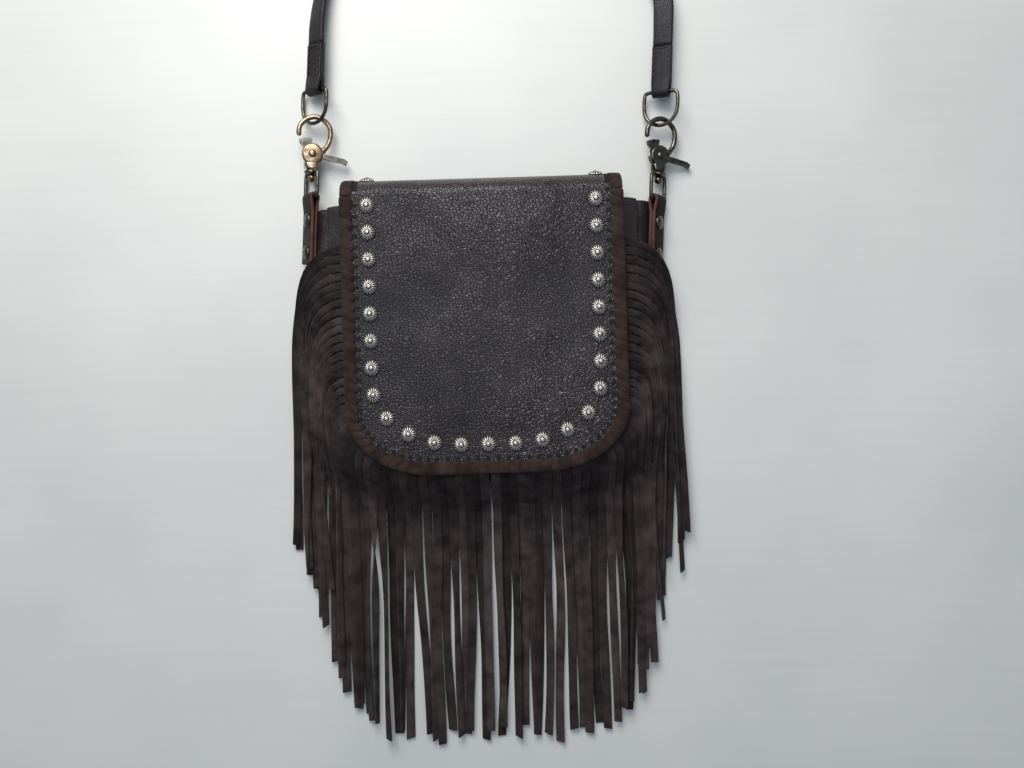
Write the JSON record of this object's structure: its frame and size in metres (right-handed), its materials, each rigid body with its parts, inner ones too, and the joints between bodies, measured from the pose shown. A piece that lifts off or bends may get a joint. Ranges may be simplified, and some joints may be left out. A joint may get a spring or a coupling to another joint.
{
  "type": "fringed crossbody bag",
  "caption": "Small flap bag with a long suede fringe, laced and studded flap edge, and a flat strap on two swivel snap hooks.",
  "frame": {"origin": "on the surface under the centre of the flap", "axes": "+X across the bag to its right, +Y up the bag towards the strap, +Z out of the flap"},
  "size_m": [0.2594, 0.6654, 0.0421],
  "materials": {
    "pebbled_leather": "satin",
    "smooth_leather": "satin",
    "strap_leather": "satin",
    "lace_suede": "matte",
    "fringe_suede": "matte",
    "stud_metal": "satin",
    "aged_metal": "satin",
    "spring_steel": "satin"
  },
  "bodies": {
    "body": {"back_panel": "pebbled_leather", "front_panel": "pebbled_leather", "gusset": "smooth_leather", "fold_lacing_left": "lace_suede", "fold_lacing_right": "lace_suede", "stud_fold_left": "stud_metal", "stud_fold_right": "stud_metal", "magnet_socket": "stud_metal", "fringe_left": "fringe_suede", "fringe_right": "fringe_suede", "left_swivel_eye": "aged_metal", "left_tab": "smooth_leather", "right_swivel_eye": "aged_metal", "right_tab": "smooth_leather", "strap_coil": "strap_leather", "strap_run_left": "strap_leather", "strap_run_right": "strap_leather"},
    "flap": {"flap": "pebbled_leather", "flap_lacing": "lace_suede", "magnet_stud": "stud_metal", "stud_1": "stud_metal", "stud_2": "stud_metal", "stud_3": "stud_metal", "stud_4": "stud_metal", "stud_5": "stud_metal", "stud_6": "stud_metal", "stud_7": "stud_metal", "stud_8": "stud_metal", "stud_9": "stud_metal", "stud_10": "stud_metal", "stud_11": "stud_metal", "stud_12": "stud_metal", "stud_13": "stud_metal", "stud_14": "stud_metal", "stud_15": "stud_metal", "stud_16": "stud_metal", "stud_17": "stud_metal", "stud_18": "stud_metal", "stud_19": "stud_metal", "stud_20": "stud_metal", "stud_21": "stud_metal", "stud_22": "stud_metal", "stud_23": "stud_metal", "stud_24": "stud_metal", "stud_25": "stud_metal"},
    "left_clip": {"left_hook_body": "aged_metal", "left_trigger_rivet": "aged_metal", "left_trigger_spring": "spring_steel", "left_strap_end": "strap_leather"},
    "left_trigger": {"left_trigger": "aged_metal"},
    "left_d_ring": {"left_d_ring": "aged_metal"},
    "right_clip": {"right_hook_body": "aged_metal", "right_trigger_rivet": "aged_metal", "right_trigger_spring": "spring_steel", "right_strap_end": "strap_leather"},
    "right_trigger": {"right_trigger": "aged_metal"},
    "right_d_ring": {"right_d_ring": "aged_metal"}
  },
  "joints": [
    {"name": "flap_hinge", "type": "hinge", "parent": "body", "child": "flap", "pos_m": [0, 0.0808, 0.041], "axis": [-1, 0, 0], "range_deg": [0, 165]},
    {"name": "left_swivel", "type": "hinge", "parent": "body", "child": "left_clip", "pos_m": [-0.1075, 0.1141, 0.0105], "axis": [0.0645, 0.9979, 0], "range_deg": [-20, 12], "stiffness_Nm_per_rad": 0.02},
    {"name": "left_trigger", "type": "hinge", "parent": "left_clip", "child": "left_trigger", "pos_m": [-0.1075, 0.1141, 0.0105], "axis": [-0.1733, 0.0112, -0.9848], "range_deg": [0, 30], "stiffness_Nm_per_rad": 0.02, "springref_deg": -20.05},
    {"name": "left_ring_swing", "type": "hinge", "parent": "left_clip", "child": "left_d_ring", "pos_m": [-0.10485, 0.15511, 0.0105], "axis": [0.797, -0.0515, 0.6018], "range_deg": [-4, 4]},
    {"name": "right_swivel", "type": "hinge", "parent": "body", "child": "right_clip", "pos_m": [0.1137, 0.1061, 0.0105], "axis": [0.0645, 0.9979, 0], "range_deg": [-30, 3], "stiffness_Nm_per_rad": 0.02},
    {"name": "right_trigger", "type": "hinge", "parent": "right_clip", "child": "right_trigger", "pos_m": [0.1137, 0.1061, 0.0105], "axis": [-0.3413, 0.0221, -0.9397], "range_deg": [0, 30], "stiffness_Nm_per_rad": 0.02, "springref_deg": -20.05},
    {"name": "right_ring_swing", "type": "hinge", "parent": "right_clip", "child": "right_d_ring", "pos_m": [0.11635, 0.14711, 0.0105], "axis": [0.8811, -0.057, 0.4695], "range_deg": [-4, 4]}
  ]
}
